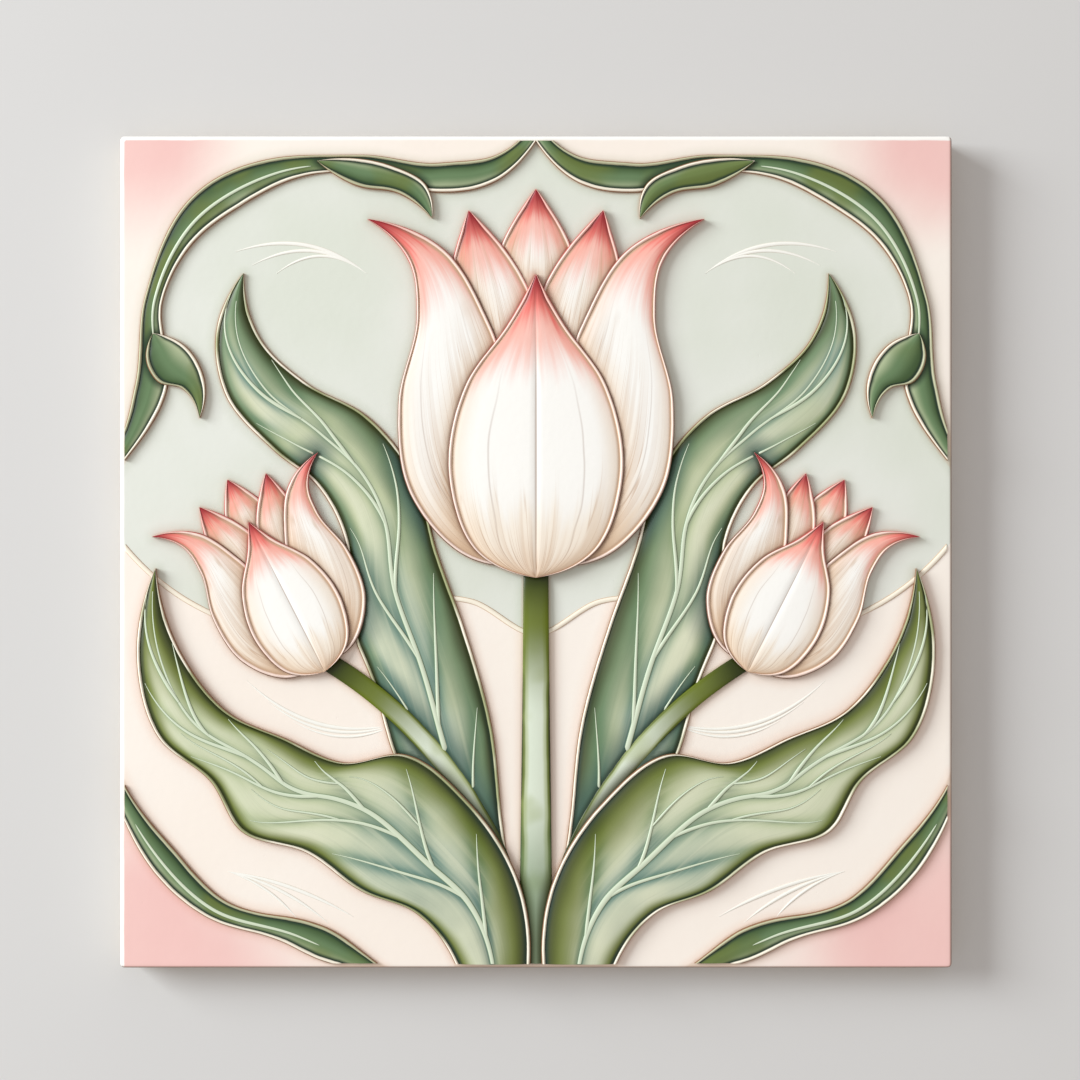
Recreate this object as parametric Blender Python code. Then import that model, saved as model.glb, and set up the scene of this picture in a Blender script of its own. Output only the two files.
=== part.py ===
"""A moulded 6 inch majolica tile, lying face up: three tulips between leaves and scrolled corner bands.

Metres, +Z up. The tile lies centred on the origin with its back on Z = 0 and the top of the picture at +Y.
The outlines of the picture are in millimetres, as on the mould maker's drawing.
"""

import math

import bmesh
import bpy
from mathutils import Matrix, Vector
from mathutils.geometry import interpolate_bezier

MM = 0.001

SIDE = 152.4  # 6 inches
BODY_THICK = 7.5
ARRIS = 0.6  # rounding of the glazed edge
CORNER = 0.8  # rounding of the four upright corners, more than the arris
MARGIN = 0.3  # flat rim left between the picture and the rounded edge
FIELD = SIDE / 2 - ARRIS - MARGIN  # half the width of the picture

GROOVES = 8  # keying grooves for the bedding adhesive
GROOVE_PITCH = 16.0
GROOVE_WIDTH = 6.0
GROOVE_LENGTH = 132.0
GROOVE_DEPTH = 0.9

SPACING = 2.8  # between the points of an outline
SHOULDER = 0.35  # width and drop of the softened edge of a raised part
SEAT = 1.0  # how far a raised part reaches into the body
OVERRUN = 2.0  # how far the bands and stems run past the field before they are trimmed

# How far each part of the picture stands above the field
TALL_LEAF_RISE = 0.75
BAND_RISE = 0.9
SIDE_STEM_RISE = 1.0
LEAFLET_RISE = 1.15
CENTRE_STEM_RISE = 1.2
LOW_LEAF_RISE = 1.5
# Petals of a bloom from back to front: back, left and right inner, left and right side, front
SIDE_BLOOM_RISES = (0.85, 1.05, 1.15, 1.35, 1.45, 1.7)
CENTRE_BLOOM_RISES = (0.95, 1.1, 1.3, 1.5, 1.65, 2.0)

CENTRE_BLOOM_AT = (0, -3)
CENTRE_BLOOM_SCALE = 1.12
SIDE_BLOOM_AT = (39, -21)
SIDE_BLOOM_SCALE = 0.62
SIDE_BLOOM_LEAN = 27  # degrees, away from the middle

GLAZE_COLOUR = (0.80, 0.78, 0.68, 1)


def tangents(points):
    """Directions of a smooth run at its points, weighted by the distances to the neighbours."""
    steps = [(b - a).length for a, b in zip(points, points[1:])]
    slopes = [(b - a) / step for a, b, step in zip(points, points[1:], steps)]
    inner = [
        (slopes[i] * steps[i + 1] + slopes[i + 1] * steps[i]) / (steps[i] + steps[i + 1])
        for i in range(len(slopes) - 1)
    ]
    return [2 * slopes[0] - inner[0], *inner, 2 * slopes[-1] - inner[-1]]


def run(*points):
    """A smooth line through three or more points, without its last point."""
    points = [Vector(point) for point in points]
    ways = tangents(points)
    line = []
    for start, end, leave, arrive in zip(points, points[1:], ways, ways[1:]):
        reach = (end - start).length / 3
        count = max(2, round(3 * reach / SPACING)) + 1
        span = interpolate_bezier(start, start + leave * reach, end - arrive * reach, end, count)
        line += span[:-1]
    return line


def mirrored(line):
    """The same line on the other side of the tile's middle, still anticlockwise or clockwise as it was."""
    return [Vector((-point.x, point.y)) for point in reversed(line)]


def balanced(*points):
    """An outline from a half that starts and ends on the middle line, with its mirrored other half."""
    half = run(*points)
    last = Vector(points[-1])
    return half + [last] + mirrored(half[1:])


def strip(spine, half_widths):
    """The outline of a band along a spine, from (share of its length, half width) pairs."""
    line = run(*spine) + [Vector(spine[-1])]
    walked = [0.0]
    for a, b in zip(line, line[1:]):
        walked.append(walked[-1] + (b - a).length)
    left, right = [], []
    for i, point in enumerate(line):
        way = (line[min(i + 1, len(line) - 1)] - line[max(i - 1, 0)]).normalized()
        across = Vector((-way.y, way.x)) * eased(half_widths, walked[i] / walked[-1])
        left.append(point + across)
        right.append(point - across)
    return left + right[::-1]


def eased(pairs, share):
    """The value at this share of the way, eased between the pairs on either side."""
    for (start, low), (end, high) in zip(pairs, pairs[1:]):
        if share <= end:
            part = (share - start) / (end - start)
            return low + (high - low) * part * part * (3 - 2 * part)
    return pairs[-1][1]


def tulip():
    """The outlines of the petals from back to front, with the bloom's base at (0, 0)."""
    back = balanced((0, 10), (-8, 30), (-7.5, 48), (0, 62))
    inner = run((2, 3), (-13, 18), (-15.5, 38), (-11, 58.5))
    inner += run((-11, 58.5), (-3.5, 50), (2.5, 36), (4, 16), (2, 3))
    side = run((1.5, 1), (-10.5, 1.5), (-20.5, 12), (-22.5, 27), (-19.5, 41), (-20.5, 49.5), (-27.5, 57))
    side += run((-27.5, 57), (-15.5, 52.5), (-7.5, 40), (-2, 20), (1.5, 1))
    front = balanced((0, -1.5), (-9.5, 2.5), (-14.2, 14.5), (-11.5, 30), (-4.5, 40), (0, 48))
    return [back, inner, mirrored(inner), side, mirrored(side), front]


def placed(outline, at, scale, lean):
    """The outline moved, scaled and leaned to the right by this many degrees."""
    turn = Matrix.Rotation(math.radians(-lean), 2)
    return [Vector(at) + turn @ point * scale for point in outline]


def arch_band():
    edge = FIELD + OVERRUN
    spine = [(edge, 16), (70.5, 30), (70, 46), (62.5, 61), (48, 69.5), (32, 71), (18, 68.5)]
    spine += [(7, 70.5), (0, edge)]
    widths = [(0, 1.2), (0.14, 3.0), (0.28, 1.7), (0.47, 3.4), (0.66, 1.6), (0.85, 2.8), (1, 1.2)]
    return strip(spine, widths)


def low_band():
    edge = FIELD + OVERRUN
    spine = [(edge, -41), (70, -54), (59, -65), (43, -70), (28, -edge)]
    widths = [(0, 1.2), (0.3, 2.8), (0.6, 1.9), (0.8, 3.0), (1, 1.2)]
    return strip(spine, widths)


def side_leaflet():
    outer = run((70, 40), (64.5, 38), (60.5, 31), (61.5, 24.5))
    return outer + run((61.5, 24.5), (65, 30), (69, 31), (71.3, 35), (70, 40))


def top_leaflet():
    under = run((40, 71.5), (33, 67), (25, 65.5), (19, 61))
    return under + run((19, 61), (20, 67), (26, 70.5), (33, 72), (40, 71.5))


def tall_leaf():
    foot, tip = (2.5, -72), (53.5, 51)
    inner = [foot, (6, -50), (8, -32), (13, -14), (18, 0), (22, 14), (31, 25), (42, 31), (50, 38.5), tip]
    outer = [tip, (58.5, 41), (57, 29), (48, 18.5), (40, 12), (35, 2), (35, -10), (30, -24), (25, -40)]
    return run(*inner) + run(*outer, (12, -58), foot)


def low_leaf():
    edge = FIELD + OVERRUN
    tip = (69.5, -3)
    root, heel = (1.2, -edge), (14, -edge)
    upper = [root, (2.5, -62), (12, -46), (24, -37), (35, -38.5), (46, -34), (56, -29.5), (64, -20), tip]
    lower = [tip, (73, -20), (69, -34), (59.5, -42), (54, -51), (42, -55), (32, -62), (22, -66), heel]
    return run(*upper) + run(*lower) + [Vector(heel)]


def side_stem():
    return strip([(2.5, -FIELD - OVERRUN), (8, -54), (21, -34), (40, -19)], [(0, 2.3), (1, 1.7)])


def centre_stem():
    return strip([(0, -FIELD - OVERRUN), (0, -35), (0, 0)], [(0, 3.0), (1, 2.3)])


def picture():
    """Every raised part of the picture, as (name, outline, rise)."""
    pairs = [
        ("tall_leaf", tall_leaf(), TALL_LEAF_RISE),
        ("arch_band", arch_band(), BAND_RISE),
        ("low_band", low_band(), BAND_RISE),
        ("side_leaflet", side_leaflet(), LEAFLET_RISE),
        ("top_leaflet", top_leaflet(), LEAFLET_RISE),
        ("side_stem", side_stem(), SIDE_STEM_RISE),
        ("low_leaf", low_leaf(), LOW_LEAF_RISE),
    ]
    for petal, rise in zip(tulip(), SIDE_BLOOM_RISES):
        leaned = placed(petal, SIDE_BLOOM_AT, SIDE_BLOOM_SCALE, SIDE_BLOOM_LEAN)
        pairs.append(("side_petal", leaned, rise))
    parts = [("centre_stem", centre_stem(), CENTRE_STEM_RISE)]
    for name, outline, rise in pairs:
        parts += [(name, outline, rise), (name, mirrored(outline), rise)]
    for petal, rise in zip(tulip(), CENTRE_BLOOM_RISES):
        upright = placed(petal, CENTRE_BLOOM_AT, CENTRE_BLOOM_SCALE, 0)
        parts.append(("centre_petal", upright, rise))
    return parts


def object_from(bm, name):
    mesh = bpy.data.meshes.new(name)
    bmesh.ops.recalc_face_normals(bm, faces=bm.faces)
    bm.to_mesh(mesh)
    bm.free()
    obj = bpy.data.objects.new(name, mesh)
    bpy.context.scene.collection.objects.link(obj)
    return obj


def block(bm, size, centre):
    """A box added to bm, from its size and centre in millimetres."""
    where = Matrix.Translation(Vector(centre) * MM) @ Matrix.Diagonal((*(Vector(size) * MM), 1))
    return bmesh.ops.create_cube(bm, size=1, matrix=where)


def helper(obj):
    """Keeps a shape that only cuts or feeds the tile out of the model."""
    obj.hide_render = True
    obj.display_type = "WIRE"
    return obj


def combine(target, operation, other):
    modifier = target.modifiers.new(other.name, "BOOLEAN")
    modifier.operation = operation
    modifier.solver = "EXACT"
    modifier.object = other


def slab():
    """The pressed body, with rounded upright corners and a rounded glazed edge."""
    bm = bmesh.new()
    block(bm, (SIDE, SIDE, BODY_THICK), (0, 0, BODY_THICK / 2))
    upright = [edge for edge in bm.edges if abs(edge.verts[0].co.z - edge.verts[1].co.z) > MM]
    bmesh.ops.bevel(bm, geom=upright, offset=CORNER * MM, segments=3, profile=0.5, affect="EDGES")
    top = [edge for edge in bm.edges if min(v.co.z for v in edge.verts) > BODY_THICK * MM * 0.99]
    bmesh.ops.bevel(bm, geom=top, offset=ARRIS * MM, segments=3, profile=0.5, affect="EDGES")
    return object_from(bm, "tile")


def keying_grooves():
    bm = bmesh.new()
    for i in range(GROOVES):
        across = (i - (GROOVES - 1) / 2) * GROOVE_PITCH
        block(bm, (GROOVE_WIDTH, GROOVE_LENGTH, 2 * GROOVE_DEPTH), (across, 0, 0))
    return helper(object_from(bm, "keying_grooves"))


def picture_field():
    """The upright box that the raised parts are trimmed to."""
    bm = bmesh.new()
    block(bm, (2 * FIELD, 2 * FIELD, 4 * BODY_THICK), (0, 0, BODY_THICK))
    return helper(object_from(bm, "picture_field"))


def raised(name, outline, rise):
    """A pad of this outline, seated in the body, with a softened upper edge."""
    bm = bmesh.new()
    base = (BODY_THICK - SEAT) * MM
    corners = [bm.verts.new((point.x * MM, point.y * MM, base)) for point in outline]
    foot = bm.faces.new(corners)
    grown = bmesh.ops.extrude_face_region(bm, geom=[foot])["geom"]
    lift = SEAT + rise - SHOULDER
    top = [item for item in grown if isinstance(item, bmesh.types.BMFace)]
    bmesh.ops.translate(bm, vec=(0, 0, lift * MM), verts=list(top[0].verts))
    bmesh.ops.inset_region(bm, faces=top, thickness=SHOULDER * MM, use_even_offset=True)
    bmesh.ops.translate(bm, vec=(0, 0, SHOULDER * MM), verts=list(top[0].verts))
    return helper(object_from(bm, name))


def glaze():
    material = bpy.data.materials.new("majolica_glaze")
    material.use_nodes = True
    shader = material.node_tree.nodes["Principled BSDF"]
    shader.inputs["Base Color"].default_value = GLAZE_COLOUR
    shader.inputs["Roughness"].default_value = 0.25
    shader.inputs["Metallic"].default_value = 0.0
    return material


def main():
    for obj in list(bpy.data.objects):
        bpy.data.objects.remove(obj)
    tile = slab()
    combine(tile, "DIFFERENCE", keying_grooves())
    field = picture_field()
    for name, outline, rise in picture():
        pad = raised(name, outline, rise)
        if any(abs(c) > FIELD for point in outline for c in point):
            combine(pad, "INTERSECT", field)
        combine(tile, "UNION", pad)
    tile.data.materials.append(glaze())


main()
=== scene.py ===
"""Looks of a relief-moulded majolica tile, with tulips, leaves and corner bands under pooled glaze."""

import math

import bpy
import numpy as np
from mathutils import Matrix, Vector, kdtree


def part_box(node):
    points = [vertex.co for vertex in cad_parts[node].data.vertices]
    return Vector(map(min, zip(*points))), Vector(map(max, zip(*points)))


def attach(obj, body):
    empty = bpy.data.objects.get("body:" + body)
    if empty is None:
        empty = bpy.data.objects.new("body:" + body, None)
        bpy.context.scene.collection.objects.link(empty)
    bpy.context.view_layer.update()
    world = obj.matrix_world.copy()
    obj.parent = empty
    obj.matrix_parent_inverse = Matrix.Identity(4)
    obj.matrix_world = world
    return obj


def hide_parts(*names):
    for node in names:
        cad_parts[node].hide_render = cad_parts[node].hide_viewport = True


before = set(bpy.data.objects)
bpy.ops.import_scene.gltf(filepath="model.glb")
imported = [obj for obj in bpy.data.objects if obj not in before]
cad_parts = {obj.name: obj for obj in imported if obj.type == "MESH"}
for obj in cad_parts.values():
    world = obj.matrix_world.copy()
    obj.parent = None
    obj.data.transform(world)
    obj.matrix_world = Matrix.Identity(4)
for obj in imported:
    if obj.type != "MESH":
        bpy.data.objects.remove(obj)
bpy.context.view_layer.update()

MM = 0.001
TILE = "tile"

# The outlines below are in millimetres, and the same as in the tile's own drawing
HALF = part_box(TILE)[1].x / MM
BODY_THICK = 7.5
ARRIS = 0.6
MARGIN = 0.3
FIELD = HALF - ARRIS - MARGIN
CORNER = 0.8
OVERRUN = 2.0
EDGE = FIELD + OVERRUN
SEAT = BODY_THICK - 0.8  # the level that the walls of the raised parts go down to

CENTRE_BLOOM_AT = (0, -3)
CENTRE_BLOOM_SCALE = 1.12
CENTRE_BLOOM_RISES = (0.95, 1.1, 1.3, 1.5, 1.65, 2.0)
SIDE_BLOOM_AT = (39, -21)
SIDE_BLOOM_SCALE = 0.62
SIDE_BLOOM_LEAN = 27
SIDE_BLOOM_CROWN = 0.6  # of the large bloom's crowns
SIDE_BLOOM_RISES = (0.85, 1.05, 1.15, 1.35, 1.45, 1.7)

# Section of a raised part, from its outer edge inwards
BEAD = 0.8  # width of the raised slip line
BEAD_LIFT = 0.02  # of its crest over the stated rise
FOOT_DROP = 0.36  # of its outer foot below the rise
POOL_DROP = 0.34  # of the glaze just inside it
BEAD_ROUND = 0.75  # under 1 makes its top rounder
BEAD_SHAKE = 0.035  # unevenness of the hand-trailed line
SHAKE_TURN = 0.9  # and how fast it comes and goes, per millimetre
SHAKE_DRIFT = 0.31
RIM_STATIONS = (0, 0.06, 0.14, 0.23, 0.32, 0.4, 0.48, 0.57, 0.66, 0.74, 0.82, 0.95, 1.15, 1.5, 2.1)
INNER_SHARES = (0.13, 0.26, 0.39, 0.52, 0.65, 0.78, 0.9, 0.96, 0.985, 1)
RIM_SPAN = 2.5  # half widths under this squeeze the section
ALONG_STEP = 0.65
MARK_STEP = 0.3  # between the marks on an outline that distances are taken from
FAR = 30.0  # no distance is taken past this
WELD = 0.002  # points closer than this are one
POOL_REACH = 1.1  # over which the pooled glaze rises inwards from the slip line
LOBE_REACH = 2.0
LOBE_SWELL = 0.16  # swelling of a leaf between two side veins
LOBE_FOOT = 0.15  # share of the half width over which it rises from the midrib
TUCK_DIP = 0.3  # dip of a part where it meets one in front, and its reach
TUCK_REACH = 1.5
UNDER_DIP = 0.6  # and how far it sinks under that one
UNDER_REACH = 1.2
STEM_DROP = 0.4
STEM_CROWN = 0.46
STEM_STATIONS = 17
PETAL_CREASE = 0.16
CREASE_HALF = 0.35  # half width of the groove down the middle of a front petal

# Raised lines drawn by themselves, in half widths and lifts
LINE_STATIONS = 11
LINE_SHARP = 85  # degrees over which an edge stays sharp
PART_SHARP = 50
BODY_SHARP = 35
LINE_SUNK = 0.03
LINE_ROOT = 0.1  # how deep it goes into what it lies on
LINE_LEAST = 0.35  # share of its lift that its thinnest stretches keep
LINE_START = 0.6  # half width at its start, as a share of the full one
LINE_FULL_AT = 0.15
LINE_END = 0.12
LINE_TAPER = 1.6
LINE_INSET = 0.15  # of a line's cut end from the field's edge
TRIM_STEP = 0.06  # further in for each millimetre that a part lies lower, so that no two cuts share a plane
MIDRIB_HALF = 0.66
VEIN_HALF = 0.42
FORK_HALF = 0.28
FORK_AT = 0.45  # where a fork leaves its vein, and ends, in the vein's span
FORK_END = 1.3
FORK_WIDENS = 1.6
MIDRIB_SPAN = (0.01, 0.96)
VEIN_LAST = 0.97
VEIN_LIFT = 0.27
VEIN_BOW = 1.25
VEIN_TUCK = 0.9  # how far a vein sinks where a part lies over it
VEIN_TUCK_FROM = 0.3  # distance from that part where it starts to sink
VEIN_HIDDEN = -1.0  # and where it is left off
VEIN_LEAST_POINTS = 6
RIDGE_ACROSS = -0.15
RIDGE_HALF = 0.36
RIDGE_LIFT = 0.24
RIDGE_TAPER = 0.35
RIDGE_END = 0.1
ARCH_RIDGE_SPAN = (0.2, 0.62)
LOW_RIDGE_SPAN = (0.15, 0.8)
HORIZON_HALF = 0.5
HORIZON_LIFT = 0.32
RIPPLE_HALF = 0.4
RIPPLE_LIFT = 0.2
RIPPLE_SPREAD = 0.9  # between the middles of a sheaf's strokes
RIPPLE_THINS = 0.15  # share that each next stroke is thinner

GROUND_WAVE = 0.02  # slow unevenness of the glazed ground
GROUND_STEP = 0.75
MENISCUS = 0.08  # glaze climbing at the foot of the raised parts
MENISCUS_REACH = 1.2
COLOUR_OVERRUN = 0.8  # how far the colours run on over the arris, at the right and at the bottom, so that the white rim painted as a highlight shows only at the left and top
GLAZE_END = 4.4  # height above the back where the glaze ends on the sides
GLAZE_SAG = 0.22
GLAZE_COAT = 0.1
GLAZE_DEEP = 0.5  # from the face down to the clay
GLAZE_WHITE_FROM = 6.5  # heights between which the colours give way to plain white down the sides
GLAZE_WHITE_TO = 6.9
LIP = 0.4  # how far the glaze's lower edge turns in

GROOVES = 8
GROOVE_PITCH = 16.0
GROOVE_WIDTH = 6.0
GROOVE_LENGTH = 132.0
GROOVE_DEPTH = 0.9
GROOVE_ROUND = 0.4
BACK_ARRIS = 0.25

# Shader values
MIX_SOCKETS = (0, 6, 7)  # a Mix node's factor and its two colours
OBJECT_OUTPUT = 3  # of Texture Coordinate
ROUGHNESS = 0.34
ROUGHNESS_SPREAD = 0.14
BUMP_DEPTH = 0.0003
COAT_ROUGHNESS = 0.3
GREEN_COAT = 0.15
GREEN_SHEEN = 0.3
SIDE_LINE_AT = 0.54  # of a petal's half width
PINHOLE_WIDTH = 0.07
PINHOLES_ABOVE = 0.66  # in the pattern that leaves only a few of them

# Scales of the patterns, in waves or cells per metre
MOTTLE_SCALE = 130.0
PEEL_SCALE = 700.0
PINHOLE_SCALE = 420.0
FEW_PINHOLES_SCALE = 260.0
LINE_SHAKE_SCALE = 450.0
LEAF_PATCH_SCALE = 55.0
BAND_PATCH_SCALE = 70.0
STEM_PATCH_SCALE = 90.0
GROUND_PATCH_SCALE = 28.0
GROUND_EDGE_SCALE = 200.0
GRAIN_SCALE = 900.0
SPECK_SCALE = 700.0
RUB_SCALE = 40.0

# The photograph's frame, and the tile's place in it
PHOTO_SIDE = 1080
TILE_PIXELS = 832
TILE_CENTRE_PX = (536, 552)
LENS = 85

FLOOR_SIZE = 3.0
FLOOR_GAP = 0.00005  # keeps the floor's face off the tile's back
FLOOR_LAP = 0.5  # how far the floor runs in under the tile
FLOOR_ROUGHNESS = 0.8
FLOOR_TONE = (0.666, 0.661, 0.656, 1)
KEY_AT = (-1.3, 0.5, 0.76)
KEY_SIZE = 0.78
KEY_POWER = 25.8
KEY_TONE = (0.95, 1.0, 1.02)
WORLD_TONE = (1.0, 0.94, 0.9, 1)
WORLD_STRENGTH = 0.568


def smooth(points, step=None, count=None):
    """Evenly spaced points along a smooth line through these points."""
    p = np.array(points, float)
    steps = np.linalg.norm(np.diff(p, axis=0), axis=1)[:, None]
    slopes = np.diff(p, axis=0) / steps
    inner = (slopes[:-1] * steps[1:] + slopes[1:] * steps[:-1]) / (steps[:-1] + steps[1:])
    ways = np.vstack([2 * slopes[0] - inner[0], inner, 2 * slopes[-1] - inner[-1]])
    t = np.linspace(0, 1, 40, endpoint=False)[:, None]
    spans = [
        (2 * t**3 - 3 * t**2 + 1) * a
        + (3 * t**2 - 2 * t**3) * b
        + (t**3 - 2 * t**2 + t) * long * leave
        + (t**3 - t**2) * long * arrive
        for a, b, long, leave, arrive in zip(p, p[1:], steps, ways, ways[1:])
    ]
    return respaced(np.vstack([*spans, p[-1:]]), step, count)


def respaced(line, step=None, count=None):
    walked = np.concatenate([[0], np.cumsum(np.linalg.norm(np.diff(line, axis=0), axis=1))])
    count = count or max(8, round(walked[-1] / step)) + 1
    at = np.linspace(0, walked[-1], count)
    return np.column_stack([np.interp(at, walked, line[:, k]) for k in range(line.shape[1])])


def mirrored(line):
    return line * (-1, 1)


def placed(line, at, scale, lean):
    """The line moved, scaled and leaned to the right by this many degrees."""
    turn = math.radians(lean)
    c, s = math.cos(turn), math.sin(turn)
    return np.array(at) + scale * line @ np.array([[c, -s], [s, c]])


def matched(left, right):
    """Two edges with one number of points, both from foot to tip."""
    count = max(len(left), len(right))
    return respaced(left, count=count), respaced(right, count=count)


def edges(left, right):
    return matched(smooth(left, ALONG_STEP), smooth(right, ALONG_STEP))


def strip(spine, half_widths):
    """The two edges of a band along a spine, from (share of its length, half width) pairs."""
    line = smooth(spine, ALONG_STEP)
    way = np.gradient(line, axis=0)
    way /= np.linalg.norm(way, axis=1)[:, None]
    share = np.linspace(0, 1, len(line))
    wide = eased(half_widths, share)[:, None]
    across = np.column_stack([-way[:, 1], way[:, 0]]) * wide
    return line + across, line - across


def eased(pairs, share):
    """The value at each share of the way, eased between the pairs on either side."""
    out = np.full(len(share), float(pairs[-1][1]))
    for (start, low), (end, high) in reversed(list(zip(pairs, pairs[1:]))):
        part = np.clip((share - start) / (end - start), 0, 1)
        out = np.where(share <= end, low + (high - low) * part * part * (3 - 2 * part), out)
    return out


def tulip():
    """The left and right edges of the petals from back to front, with the bloom's base at (0, 0)."""
    back = [(0, 10), (-8, 30), (-7.5, 48), (0, 62)]
    inner_outside = [(2, 3), (-13, 18), (-15.5, 38), (-11, 58.5)]
    inner_inside = [(2, 3), (4, 16), (2.5, 36), (-3.5, 50), (-11, 58.5)]
    side_tip = (-27.5, 57)
    side_outside = [(1.5, 1), (-10.5, 1.5), (-20.5, 12), (-22.5, 27), (-19.5, 41), (-20.5, 49.5), side_tip]
    side_inside = [(1.5, 1), (-2, 20), (-7.5, 40), (-15.5, 52.5), side_tip]
    front = [(0, -1.5), (-9.5, 2.5), (-14.2, 14.5), (-11.5, 30), (-4.5, 40), (0, 48)]
    petals = []
    for left, right in ((inner_outside, inner_inside), (side_outside, side_inside)):
        left, right = edges(left, right)
        petals += [(left, right), (mirrored(right), mirrored(left))]
    back_edge, front_edge = smooth(back, ALONG_STEP), smooth(front, ALONG_STEP)
    return [(back_edge, mirrored(back_edge)), *petals, (front_edge, mirrored(front_edge))]


ARCH_SPINE = [(EDGE, 16), (70.5, 30), (70, 46), (62.5, 61), (48, 69.5), (32, 71)]
ARCH_SPINE += [(18, 68.5), (7, 70.5), (0, EDGE)]
ARCH_WIDTHS = [(0, 1.2), (0.14, 3.0), (0.28, 1.7), (0.47, 3.4), (0.66, 1.6), (0.85, 2.8), (1, 1.2)]
LOW_SPINE = [(EDGE, -41), (70, -54), (59, -65), (43, -70), (28, -EDGE)]
LOW_WIDTHS = [(0, 1.2), (0.3, 2.8), (0.6, 1.9), (0.8, 3.0), (1, 1.2)]
HORIZON = [(-HALF, 2), (-62, -10), (-44, -15), (-26, -9), (-12, -9), (0, -15)]
HORIZON += [(-x, y) for x, y in reversed(HORIZON[:-1])]


def tall_leaf():
    foot, tip = (2.5, -72), (53.5, 51)
    inner = [foot, (6, -50), (8, -32), (13, -14), (18, 0), (22, 14), (31, 25), (42, 31), (50, 38.5), tip]
    outer = [foot, (12, -58), (25, -40), (30, -24), (35, -10), (35, 2), (40, 12), (48, 18.5), (57, 29)]
    return edges(inner, outer + [(58.5, 41), tip])


def low_leaf():
    tip = (69.5, -3)
    root, heel = (1.2, -EDGE), (14, -EDGE)
    upper = [root, (2.5, -62), (12, -46), (24, -37), (35, -38.5), (46, -34), (56, -29.5), (64, -20), tip]
    lower = [heel, (22, -66), (32, -62), (42, -55), (54, -51), (59.5, -42), (69, -34), (73, -20), tip]
    return edges(upper, lower)


def side_leaflet():
    root, tip = (70, 40), (61.5, 24.5)
    return edges([root, (64.5, 38), (60.5, 31), tip], [root, (71.3, 35), (69, 31), (65, 30), tip])


def top_leaflet():
    root, tip = (40, 71.5), (19, 61)
    return edges([root, (33, 72), (26, 70.5), (20, 67), tip], [root, (33, 67), (25, 65.5), tip])


VEINS = {  # pairs of side veins, shares where the first and last start, their span, and their reach across
    "tall_leaf": (4, 0.12, 0.86, 0.2, 0.8),
    "low_leaf": (5, 0.06, 0.84, 0.19, 0.8),
}


class Part:
    """A raised part of the picture: two edges, a height and a finish. Shares run 0 to 1 from foot to tip."""

    def __init__(self, name, pair, rise, finish, crown, beaded=True):
        self.name = name
        self.rise = rise
        self.finish = finish
        self.crown = crown
        self.beaded = beaded
        self.left, self.right = pair
        self.fronts = []
        self.length = ALONG_STEP * len(self.left)
        self.crease = PETAL_CREASE if "front_petal" in name else 0
        self.veins = VEINS.get(name.rsplit("_", 1)[0])

    @property
    def outline(self):
        return np.vstack([self.left, self.right[::-1]])

    def on_edge(self, edge, share):
        at = np.linspace(0, 1, len(edge))
        return np.stack([np.interp(share, at, edge[:, 0]), np.interp(share, at, edge[:, 1])], -1)

    def spot(self, share, across):
        """The place in the picture at a share of the length, and across from -1 at the left edge to 1."""
        left, right = self.on_edge(self.left, share), self.on_edge(self.right, share)
        return left + (right - left) * ((across + 1) / 2)[..., None]

    def half_width(self, share):
        return np.linalg.norm(self.on_edge(self.left, share) - self.on_edge(self.right, share), axis=-1) / 2

    def rim(self, share, across):
        """Distance from the edge, in the millimetres of the full section."""
        half = self.half_width(share)
        squeeze = np.clip(half / RIM_SPAN, 1e-6, 1)
        return (1 - np.abs(across)) * half / squeeze

    def height(self, share, across, tuck):
        rim = self.rim(share, across)
        squeeze = np.clip(self.half_width(share) / RIM_SPAN, 0, 1)
        if self.beaded:
            bead = (0.5 + 0.5 * np.cos(np.clip(2 * rim / BEAD - 1, -1, 1) * math.pi)) ** BEAD_ROUND
            walked = share * self.length
            drift = 2 * np.sin(SHAKE_DRIFT * walked + np.sign(across))
            lift = BEAD_LIFT + BEAD_SHAKE * np.sin(SHAKE_TURN * walked + drift)
            inner = np.clip(rim - BEAD, 0, None)
            swell = POOL_DROP * (1 - np.exp(-inner / POOL_REACH)) + self.crown * (1 - across**2)
            swell += LOBE_SWELL * self.lobe(share, across) * (1 - np.exp(-inner / LOBE_REACH))
            swell -= self.crease * np.exp(-((across * self.half_width(share) / CREASE_HALF) ** 2))
            low = np.where(rim < BEAD / 2, -FOOT_DROP, -POOL_DROP)
            z = np.where(rim < BEAD, low + (lift - low) * bead, swell - POOL_DROP)
        else:
            z = STEM_CROWN * np.sqrt(np.clip(1 - across**2, 0, 1)) - STEM_DROP
        z = z * np.sqrt(squeeze)
        dip = TUCK_DIP * np.exp(-np.clip(tuck, 0, None) / TUCK_REACH)
        return BODY_THICK + self.rise + z - dip - UNDER_DIP * np.clip(-tuck / UNDER_REACH, 0, 1)

    def lobe(self, share, across):
        """How far from the side veins: 0 on a vein and on the midrib, 1 midway between two."""
        if not self.veins:
            return np.zeros(across.shape)
        pairs, first, last, span, reach = self.veins
        out = (np.abs(across) / reach) ** (1 / VEIN_BOW)
        start = share - span * out
        turn = (start - first) / (last - first) * pairs - np.where(across > 0, 0.5, 0)
        turn = np.clip(turn, -0.5, pairs - 0.5)
        return np.abs(np.sin(math.pi * turn)) * (1 - np.exp(-np.abs(across) / LOBE_FOOT))

    def surface(self, share, across):
        """Places (x, y, z) on the upper face, with how far each is from a part in front."""
        spot = self.spot(share, across)
        tuck = distance_to(self.fronts, spot)
        return np.concatenate([spot, self.height(share, across, tuck)[..., None]], -1), tuck


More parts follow.
